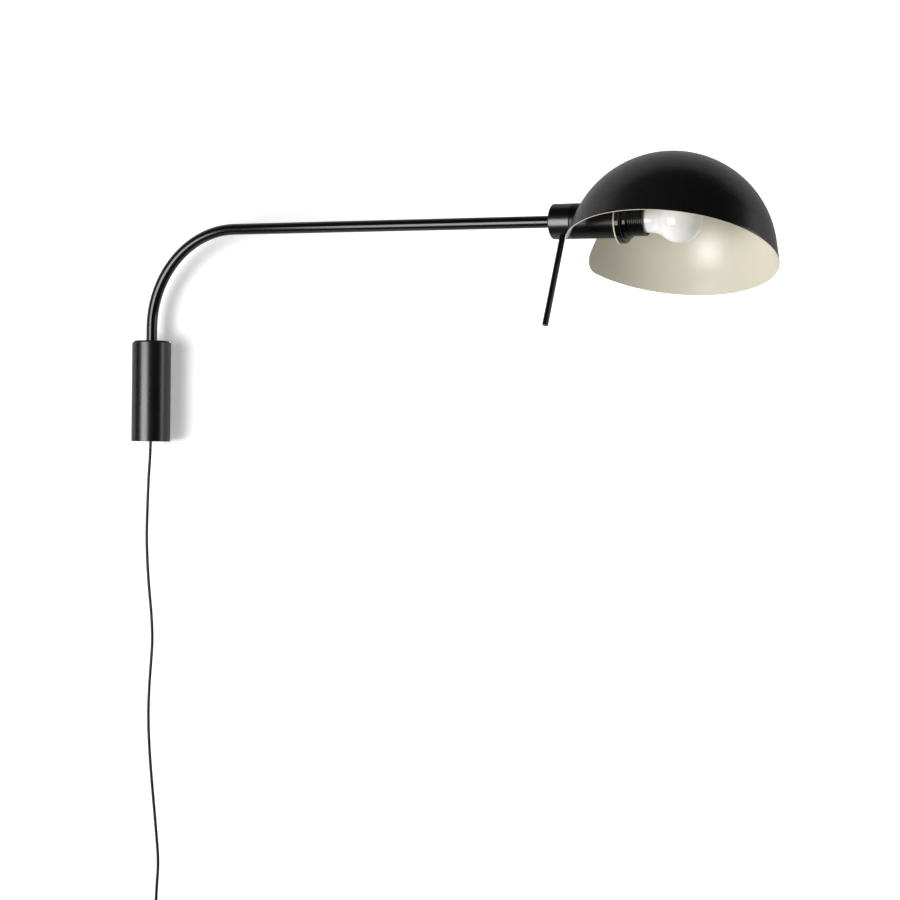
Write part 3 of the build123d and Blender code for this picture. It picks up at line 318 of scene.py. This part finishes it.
def outline_of_shade(count, trim):
    """The wall's free edge, as three arrays of count points that go once round the shade's axis.

    They hold the angle round the axis, the reach from the crown, and the angle that an even fan
    would give. The edge follows the rim, rises along the notch's foot arc and straight side, and
    closes over the head in a half circle of radius NOTCH_HALF. It is set back by trim for the
    lip."""
    half, foot_r = NOTCH_HALF + trim, NOTCH_FOOT_R - trim
    foot = NOTCH_HALF + NOTCH_FOOT_R
    over = np.linspace(0, pi / 2, ARCH_STEPS)
    side = np.linspace(RIM_BELOW, NOTCH_FOOT_R, SIDE_STEPS)[1:]
    curl = np.linspace(0, pi / 2, FOOT_STEPS)[1:]
    across = np.concatenate([
        half * np.sin(over), np.full(len(side), half), foot - foot_r * np.cos(curl)])
    height = np.concatenate([
        RIM_BELOW + half * np.cos(over), side, NOTCH_FOOT_R - foot_r * np.sin(curl)])
    on_round = height >= SKIRT_H
    far = np.where(
        on_round,
        np.sqrt(DOME_R ** 2 - (height + DOME_DROP) ** 2),
        RIM_R + (SKIRT_TOP_R - RIM_R) * height / SKIRT_H,
    )
    reach = np.where(
        on_round,
        np.arccos((height + DOME_DROP) / DOME_R) / SKIRT_LEAN * ROUND_SHARE,
        ROUND_SHARE + (1 - height / SKIRT_H) * (1 - ROUND_SHARE),
    )
    angle = np.arcsin(across / far)
    rim_angle = np.linspace(angle[-1], pi, RIM_STEPS)[1:]
    angle = np.concatenate([angle, rim_angle])
    reach = np.concatenate([reach, np.full(len(rim_angle), reach[-1])])
    far = np.concatenate([far, np.full(len(rim_angle), RIM_R)])
    step = np.hypot(np.diff(angle) * far[1:], np.diff(reach) * ROUND_RUN)
    run = np.concatenate([[0], np.cumsum(step)])
    even = np.linspace(0, run[-1], count // 2 + 1)
    angle, reach = np.interp(even, run, angle), np.interp(even, run, reach)
    fair = np.linspace(0, pi, count // 2 + 1)
    mirror = slice(-2, 0, -1)     # the other half, without the two ends that it shares
    return (
        np.concatenate([angle, TURN - angle[mirror]]),
        np.concatenate([reach, reach[mirror]]),
        np.concatenate([fair, TURN - fair[mirror]]),
    )


def make_shade(columns=440, rows=64, lip_steps=8):
    """The half-round shade as one closed skin.

    Column j runs from the crown to the free edge: its reach grows evenly, and its angle turns
    from an even fan at the crown to the edge's own angle with the third power of the way.
    The inside is the same grid on a profile that is a sheet's thickness smaller, and the lip
    is a half circle between both, swept along the edge."""
    lip_r = SHEET_T / 2
    edge_angle, edge_reach, fair = outline_of_shade(columns, lip_r)
    way = np.linspace(0, 1, rows)[1:, None]
    reach = way * edge_reach
    angle = fair + (edge_angle - fair) * way ** 3
    centre = JOINT + ALONG * DOME_AT + OPENING * RIM_BELOW

    def skin(inset):
        far, high = wall_place(reach, inset)
        ray = -np.cos(angle)[..., None] * ALONG + np.sin(angle)[..., None] * TO_ROOM
        return centre + far[..., None] * ray - high[..., None] * OPENING

    outside, inside = skin(0.0), skin(SHEET_T)
    middle = (outside[-1] + inside[-1]) / 2
    normal = outside[-1] - inside[-1]
    normal /= np.linalg.norm(normal, axis=-1, keepdims=True)
    run = np.roll(middle, -1, axis=0) - np.roll(middle, 1, axis=0)
    run /= np.linalg.norm(run, axis=-1, keepdims=True)
    away = np.cross(run, normal)
    well_inside = outside[-4]
    away *= np.sign((away * (middle - well_inside)).sum(-1, keepdims=True))
    bend = np.linspace(0, pi, lip_steps + 2)[1:-1, None, None]
    lip = middle + lip_r * (np.cos(bend) * normal + np.sin(bend) * away)
    grid = np.concatenate([outside, lip, inside[::-1]])
    crown_out = centre - OPENING * (DOME_R - DOME_DROP)
    crown_in = centre - OPENING * (DOME_R - SHEET_T - DOME_DROP)
    made = put_capped("shade_dome", grid, crown_out, crown_in, flip=True)
    cream = np.concatenate([
        np.zeros(outside.size // 3),
        np.repeat(np.linspace(0, 1, lip_steps) > BLACK_OF_LIP, columns),
        np.ones(inside.size // 3),
        [0, 1],
    ])
    layer = made.data.attributes.new("cream_side", "FLOAT", "POINT")
    layer.data.foreach_set("value", cream.astype(np.float32))
    return made


shade_dome = make_shade()
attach(shade_dome, "head")
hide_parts("shade")

# ------------------------------------------------------------------ lamp holder and bulb
CLAMP_AT = 111.0                  # places along the head's axis, from the swivel joint
SLEEVE_START = 92.0
SLEEVE_SEAM = 100.0               # in the bore, where the sleeve's outline closes
SLEEVE_END = 145.2
SLEEVE_R = 20.0
SLEEVE_BORE_R = 17.2
SLEEVE_FOOT_R = 19.0
SLEEVE_EDGE = 0.5
THREAD_START = 125.4
THREAD_PITCH = 2.5
THREAD_DEPTH = 1.0
THREAD_FADE = 0.8                 # the thread's dip grows and ends over this length
THREAD_END = SLEEVE_END - 1.0
STEPS_PER_PITCH = 16
FOOT_EDGE_R = 0.3
MOUTH_EDGE_R = 0.4
OUTSIDE_BAND = 0.1                # the thread touches only points this close to the outer radius
RING_START = 112.5
RING_SEAM = 115.0                 # in the bore, where the ring's outline closes
RING_BORE_R = 20.1
RING_EDGE_R = 0.4
FLANGE_R = 28.8
FLANGE_END = 119.5
FLANGE_ROUND_R = 2.6
HUB_R = 23.0
HUB_END = 125.0
HUB_FOOT_R = 0.5
HUB_ROUND_R = 1.1


def thread(place, angle):
    """A thread with broad crests: its dip is the cube of a wave, and the wave runs over the
    place less the turn's share of a pitch."""
    wave = (1 + np.cos(TURN * ((place - THREAD_START) / THREAD_PITCH - angle / TURN))) / 2
    fade_in = np.clip((place - THREAD_START) / THREAD_FADE, 0, 1)
    fade_out = np.clip((THREAD_END - place) / THREAD_FADE, 0, 1)
    return -THREAD_DEPTH * wave ** 3 * fade_in * fade_out


def make_sleeve():
    """The holder's outer sleeve, turned, with a helical thread on its free length."""
    foot = round_corners(outline(
        (SLEEVE_SEAM, SLEEVE_BORE_R), (SLEEVE_START, SLEEVE_BORE_R), (SLEEVE_START, SLEEVE_FOOT_R),
        (CLAMP_AT, SLEEVE_FOOT_R), (CLAMP_AT, SLEEVE_R), (THREAD_START, SLEEVE_R),
    ), FOOT_EDGE_R, steps=3)
    run = np.arange(THREAD_START, SLEEVE_END - SLEEVE_EDGE, THREAD_PITCH / STEPS_PER_PITCH)
    middle = np.stack([run, np.full(len(run), SLEEVE_R)], axis=-1)
    mouth = round_corners(outline(
        (SLEEVE_END - SLEEVE_EDGE, SLEEVE_R), (SLEEVE_END, SLEEVE_R - MOUTH_EDGE_R),
        (SLEEVE_END, SLEEVE_BORE_R), (SLEEVE_SEAM, SLEEVE_BORE_R),
    ), MOUTH_EDGE_R, steps=3)
    profile = np.concatenate([foot, middle[1:], mouth])
    on_outside = profile[:, 1:] > SLEEVE_R - OUTSIDE_BAND

    def dip(place, angle):
        return thread(place, angle) * on_outside

    return turned("threaded_sleeve", profile, columns=120, dip=dip)


def make_ring():
    """The clamp ring: a rounded flange and a lower hub round the sleeve."""
    profile = round_corners(outline(
        (RING_SEAM, RING_BORE_R), (RING_START, RING_BORE_R), (RING_START, FLANGE_R),
        (FLANGE_END, FLANGE_R, FLANGE_ROUND_R), (FLANGE_END, HUB_R, HUB_FOOT_R),
        (HUB_END, HUB_R, HUB_ROUND_R), (HUB_END, RING_BORE_R), (RING_SEAM, RING_BORE_R),
    ), RING_EDGE_R, steps=6)
    return turned("clamp_ring", profile, columns=128)


BULB_AT = 186.0
BULB_R = 29.0
NECK_R = 16.2
FAIR_R = 30.0                     # radius of the flare between the neck and the ball
BULB_FOOT = 136.5
BULB_FOOT_LINE = [                # (way on from BULB_FOOT, distance from the axis)
    (0.0, 0.0), (0.0, 12.8), (0.3, 13.2), (3.6, 14.6), (4.8, 15.8), (6.5, NECK_R), (9.0, NECK_R),
]


def make_bulb():
    """The opal bulb: a neck that flares by an arc into a ball, turned on the head's axis.

    The flare touches the neck's line and the ball, so its centre lies FAIR_R + NECK_R from
    the axis and FAIR_R + BULB_R from the ball's centre. The foot steps out of the metal cap
    and widens to the neck."""
    throat = BULB_AT - sqrt((BULB_R + FAIR_R) ** 2 - (NECK_R + FAIR_R) ** 2)
    lean = acos((BULB_AT - throat) / (BULB_R + FAIR_R))
    flare = np.linspace(pi / 2, lean, 14)[1:-1]
    flare = np.stack([
        throat + FAIR_R * np.cos(flare), NECK_R + FAIR_R - FAIR_R * np.sin(flare)], axis=-1)
    ball = np.linspace(pi - lean, 0, 40)
    ball = np.stack([BULB_AT + BULB_R * np.cos(ball), BULB_R * np.sin(ball)], axis=-1)
    foot = np.array([(BULB_FOOT + on, far) for on, far in BULB_FOOT_LINE] + [(throat, NECK_R)])
    return turned("opal_bulb", np.concatenate([foot, flare, ball]), columns=112)


threaded_sleeve, clamp_ring, opal_bulb = make_sleeve(), make_ring(), make_bulb()
for piece, node, slot in (
    (threaded_sleeve, "lampholder_sleeve", "holder_plastic"),
    (clamp_ring, "shade_ring", "ring_plastic"),
    (opal_bulb, "bulb_glass", "opal_glass"),
):
    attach(piece, "head")
    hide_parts(node)


# ------------------------------------------------------------------ finishes
GRAIN_SCALE = 1500.0              # fine grain, per metre
CLOUD_SCALE = 28.0                # slow patches of colour and gloss, per metre
BUMP_HEIGHT = 0.0002              # in metres


def math_node(tree, operation, **constants):
    """A Math node, with its unlinked inputs given as a, b or c."""
    made = tree.nodes.new("ShaderNodeMath")
    made.operation = operation
    for label, value in constants.items():
        made.inputs["abc".index(label)].default_value = value
    return made


def grain_group():
    """Coat grain: object-space noise gives a bumped normal, a rougher or smoother patchwork,
    and a slow cloud that shades the colour."""
    group = bpy.data.node_groups.new("coat_grain", "ShaderNodeTree")
    socket = group.interface.new_socket
    for label, start in (
        ("Grain Scale", GRAIN_SCALE), ("Depth", 0.1), ("Roughness", 0.4), ("Spread", 0.08),
        ("Cloud", 0.1),
    ):
        made = socket(name=label, in_out="INPUT", socket_type="NodeSocketFloat")
        made.default_value = start
    for label, kind in (("Normal", "Vector"), ("Roughness", "Float"), ("Shade", "Float")):
        socket(name=label, in_out="OUTPUT", socket_type="NodeSocket" + kind)
    give, take = group.nodes.new("NodeGroupInput"), group.nodes.new("NodeGroupOutput")
    place = group.nodes.new("ShaderNodeTexCoord")
    fine = group.nodes.new("ShaderNodeTexNoise")
    fine.inputs["Detail"].default_value = 2.0
    slow = group.nodes.new("ShaderNodeTexNoise")
    slow.inputs["Scale"].default_value = CLOUD_SCALE
    slow.inputs["Detail"].default_value = 4.0
    bump = group.nodes.new("ShaderNodeBump")
    bump.inputs["Distance"].default_value = BUMP_HEIGHT
    lift = math_node(group, "SUBTRACT", b=0.5)
    gloss = math_node(group, "MULTIPLY_ADD")
    tone = math_node(group, "MULTIPLY_ADD", c=1.0)
    for source, target in (
        (place.outputs["Object"], fine.inputs["Vector"]),
        (place.outputs["Object"], slow.inputs["Vector"]),
        (give.outputs["Grain Scale"], fine.inputs["Scale"]),
        (fine.outputs["Fac"], bump.inputs["Height"]),
        (give.outputs["Depth"], bump.inputs["Strength"]),
        (bump.outputs["Normal"], take.inputs["Normal"]),
        (slow.outputs["Fac"], lift.inputs[0]),
        (lift.outputs[0], gloss.inputs[0]),
        (give.outputs["Spread"], gloss.inputs[1]),
        (give.outputs["Roughness"], gloss.inputs[2]),
        (gloss.outputs[0], take.inputs["Roughness"]),
        (lift.outputs[0], tone.inputs[0]),
        (give.outputs["Cloud"], tone.inputs[1]),
        (tone.outputs[0], take.inputs["Shade"]),
    ):
        group.links.new(source, target)
    return group


GRAIN = grain_group()


def finish_of(
    name, colour, roughness, metallic=0.0, grain=GRAIN_SCALE, depth=0.1, spread=0.08, cloud=0.1,
    **shader,
):
    """A material: the grain group shades one colour, and constants go to the shader's sockets."""
    made = bpy.data.materials.new(name)
    made.use_nodes = True
    tree = made.node_tree
    face = tree.nodes["Principled BSDF"]
    face.inputs["Metallic"].default_value = metallic
    for socket, value in shader.items():
        face.inputs[socket.replace("_", " ")].default_value = value
    skin = tree.nodes.new("ShaderNodeGroup")
    skin.node_tree = GRAIN
    for label, value in (
        ("Grain Scale", grain), ("Depth", depth), ("Roughness", roughness), ("Spread", spread),
        ("Cloud", cloud),
    ):
        skin.inputs[label].default_value = value
    tint = tree.nodes.new("ShaderNodeVectorMath")
    tint.operation = "SCALE"
    tint.inputs[0].default_value = colour
    tree.links.new(skin.outputs["Shade"], tint.inputs["Scale"])
    tree.links.new(tint.outputs[0], face.inputs["Base Color"])
    tree.links.new(skin.outputs["Roughness"], face.inputs["Roughness"])
    tree.links.new(skin.outputs["Normal"], face.inputs["Normal"])
    return made


def two_sided_coat(name, outer, inner, outer_rough, inner_rough):
    """The shade's coat: the cream_side attribute picks the inner colour and roughness."""
    made = finish_of(name, outer, outer_rough, grain=1400.0, depth=0.12)
    tree = made.node_tree
    skin = next(n for n in tree.nodes if n.type == "GROUP")
    tint = next(n for n in tree.nodes if n.type == "VECT_MATH")
    side = tree.nodes.new("ShaderNodeAttribute")
    side.attribute_name = "cream_side"
    colour = tree.nodes.new("ShaderNodeMix")
    colour.data_type = "RGBA"
    colour.inputs["A"].default_value = (*outer, 1)
    colour.inputs["B"].default_value = (*inner, 1)
    rough = tree.nodes.new("ShaderNodeMapRange")
    rough.inputs["To Min"].default_value = outer_rough
    rough.inputs["To Max"].default_value = inner_rough
    tree.links.new(side.outputs["Fac"], colour.inputs["Factor"])
    tree.links.new(colour.outputs["Result"], tint.inputs[0])
    tree.links.new(side.outputs["Fac"], rough.inputs["Value"])
    tree.links.new(rough.outputs["Result"], skin.inputs["Roughness"])
    return made


METAL = {"metallic": 1.0, "grain": 900.0, "depth": 0.15}
BLACK = (0.0034, 0.0034, 0.0036)
SHADE_BLACK = (0.0078, 0.0078, 0.0080)
HOLDER_BLACK = (0.002, 0.002, 0.002)
CREAM = (0.608, 0.576, 0.480)
tube_coat = finish_of("glossy_tube_coat", BLACK, 0.15, Specular_IOR_Level=0.70)
collar_coat = finish_of("collar_coat", BLACK, 0.24, Specular_IOR_Level=0.78)
holder_tube_coat = finish_of("holder_tube_coat", HOLDER_BLACK, 0.29, Specular_IOR_Level=0.25)
cap_coat = finish_of("cap_matt", (0.004, 0.004, 0.004), 0.55, Specular_IOR_Level=0.15)
shade_coat = two_sided_coat("shade_coat", SHADE_BLACK, CREAM, 0.27, 0.33)

FINISHES = {
    "black_coat": finish_of("black_powder_coat", BLACK, 0.28, Specular_IOR_Level=0.72),
    "cream_coat": finish_of("cream_coat", CREAM, 0.38),
    "steel": finish_of("zinc_steel", (0.50, 0.50, 0.51), 0.34, **METAL),
    "aluminium": finish_of("turned_aluminium", (0.70, 0.70, 0.72), 0.30, **METAL),
    "bush_plastic": finish_of("bush_plastic", (0.03, 0.03, 0.03), 0.5),
    "holder_plastic": finish_of(
        "holder_plastic", HOLDER_BLACK, 0.22, depth=0.05, Specular_IOR_Level=0.42),
    "ring_plastic": finish_of(
        "ring_gloss", (0.001, 0.001, 0.001), 0.04, depth=0.02, spread=0.02, Specular_IOR_Level=0.5),
    "white_plastic": finish_of("white_plastic", (0.72, 0.72, 0.69), 0.42),
    "brass": finish_of("brass", (0.74, 0.55, 0.26), 0.28, metallic=1.0),
    "opal_glass": finish_of(
        "opal_glass", (0.775, 0.77, 0.755), 0.07, depth=0.0, spread=0.02, cloud=0.03,
        Specular_IOR_Level=1.0),
    "cord_black": finish_of(
        "cord_sheath", (0.006, 0.006, 0.006), 0.42, grain=700.0, Specular_IOR_Level=0.3),
    "plug_plastic": finish_of("plug_plastic", (0.014, 0.014, 0.014), 0.38),
}


def set_finish(thing, material):
    thing.data.materials.clear()
    thing.data.materials.append(material)


for entry in frame["record"]["subparts"]:
    set_finish(nodes[entry["node"]], FINISHES[entry["material_slot"]])
for piece, material in (
    (supply_cord, FINISHES["cord_black"]), (shade_dome, shade_coat),
    (threaded_sleeve, FINISHES["holder_plastic"]), (clamp_ring, FINISHES["ring_plastic"]),
    (opal_bulb, FINISHES["opal_glass"]), (nodes["top_cap"], cap_coat),
    (nodes["arm_tube"], tube_coat), (nodes["aim_rod"], tube_coat),
    (nodes["swivel_stub"], tube_coat), (nodes["head_collar"], collar_coat),
    (nodes["holder_tube"], holder_tube_coat),
):
    set_finish(piece, material)


# ------------------------------------------------------------------ stage, in metres
RAMP_FROM, RAMP_TO = 0.05, 1.05    # the run along the wall over which its glow changes
WALL_SET_BACK = 0.0006             # keeps the board clear of the wall plate's back
BOARD_HALF_W = 3.2
KEY_AT, KEY_AIM = (-0.94, -1.61, -0.23), (0.3, -0.1, 0.0)


def backdrop(name, albedo, glow, mirrored, far_glow=None, far_mirrored=None):
    """White board that glows a little, and that can't be seen from behind.

    In a glossy reflection it is only the share mirrored as bright, like the dim room around
    it. With far_glow and far_mirrored the glow, seen or mirrored, turns into them along the
    wall, from RAMP_FROM to RAMP_TO."""
    made = bpy.data.materials.new(name)
    made.use_nodes = True
    tree = made.node_tree
    face = tree.nodes["Principled BSDF"]
    face.inputs["Roughness"].default_value = 0.9
    face.inputs["Specular IOR Level"].default_value = 0.0
    face.inputs["Emission Strength"].default_value = 1.0
    place = tree.nodes.new("ShaderNodeTexCoord")
    split = tree.nodes.new("ShaderNodeSeparateXYZ")
    ray = tree.nodes.new("ShaderNodeLightPath")
    tree.links.new(place.outputs["Object"], split.inputs[0])
    dim_glow = glow * mirrored
    glow_seen = (glow, glow if far_glow is None else far_glow)
    glow_mirrored = (dim_glow, dim_glow if far_mirrored is None else far_mirrored)
    for target, seen, reflected in (
        ("Base Color", (albedo, albedo), (albedo * mirrored, albedo * mirrored)),
        ("Emission Color", glow_seen, glow_mirrored),
    ):
        either = tree.nodes.new("ShaderNodeMix")
        either.data_type = "RGBA"
        for socket, (near, far) in (("A", seen), ("B", reflected)):
            ramp = tree.nodes.new("ShaderNodeMapRange")
            ramp.interpolation_type = "SMOOTHSTEP"
            ramp.inputs["From Min"].default_value = RAMP_FROM
            ramp.inputs["From Max"].default_value = RAMP_TO
            ramp.inputs["To Min"].default_value = near
            ramp.inputs["To Max"].default_value = far
            tree.links.new(split.outputs["X"], ramp.inputs["Value"])
            tree.links.new(ramp.outputs["Result"], either.inputs[socket])
        tree.links.new(ray.outputs["Is Glossy Ray"], either.inputs["Factor"])
        tree.links.new(either.outputs["Result"], face.inputs[target])
    clear = tree.nodes.new("ShaderNodeBsdfTransparent")
    back = tree.nodes.new("ShaderNodeNewGeometry")
    either = tree.nodes.new("ShaderNodeMixShader")
    tree.links.new(back.outputs["Backfacing"], either.inputs[0])
    tree.links.new(face.outputs[0], either.inputs[1])
    tree.links.new(clear.outputs[0], either.inputs[2])
    tree.links.new(either.outputs[0], tree.nodes["Material Output"].inputs["Surface"])
    return made


def flat_stage(name, centre, up, half_w, half_h, material):
    """A flat backdrop: four corners at centre plus and minus half_w along X and half_h along up."""
    right, up, centre = np.array((half_w, 0, 0)), np.array(up) * half_h, np.array(centre)
    corners = [centre - right - up, centre + right - up, centre + right + up, centre - right + up]
    mesh = bpy.data.meshes.new(name)
    mesh.from_pydata(corners, [], [(0, 1, 2, 3)])
    made = bpy.data.objects.new(name, mesh)
    scene.collection.objects.link(made)
    set_finish(made, material)


def soft_box(name, place, aim, width, height, watts):
    """A rectangular soft light at place that faces aim, and that no picture shows."""
    data = bpy.data.lights.new(name, "AREA")
    data.shape = "RECTANGLE"
    data.size = width
    data.size_y = height
    data.energy = watts
    made = bpy.data.objects.new(name, data)
    made.location = place
    made.rotation_euler = (Vector(aim) - Vector(place)).to_track_quat("-Z", "Y").to_euler()
    made.visible_camera = False
    scene.collection.objects.link(made)


def pale_world(lighting, shown):
    """A world that hardly lights the object, but that is pale where the camera sees it."""
    world = bpy.data.worlds.new("studio")
    world.use_nodes = True
    tree = world.node_tree
    sky = tree.nodes["Background"]
    sky.inputs["Color"].default_value = (1, 1, 1, 1)
    ray = tree.nodes.new("ShaderNodeLightPath")
    strength = tree.nodes.new("ShaderNodeMapRange")
    strength.inputs["To Min"].default_value = lighting
    strength.inputs["To Max"].default_value = shown
    tree.links.new(ray.outputs["Is Camera Ray"], strength.inputs["Value"])
    tree.links.new(strength.outputs["Result"], sky.inputs["Strength"])
    scene.world = world


floor_white = backdrop("white_board", albedo=0.7, glow=0.10, mirrored=0.08)
wall_white = backdrop(
    "wall_white", albedo=0.8, glow=0.33, mirrored=0.48, far_glow=1.05, far_mirrored=0.17)
flat_stage(
    "wall_board", (0.4, WALL_SET_BACK, 0.3), (0, 0, 1), BOARD_HALF_W, half_h=1.9,
    material=wall_white)
flat_stage(
    "floor_board", (0.4, -2.2, -1.6), (0, 1, 0), BOARD_HALF_W, half_h=2.2, material=floor_white)
soft_box("key_box", KEY_AT, KEY_AIM, width=1.35, height=1.35, watts=31)
soft_box("key_core", KEY_AT, KEY_AIM, width=0.56, height=0.56, watts=17)
soft_box("side_box", (2.4, -0.5, 0.35), (0.4, -0.2, 0.1), width=0.9, height=1.3, watts=8)
pale_world(lighting=0.01, shown=0.75)
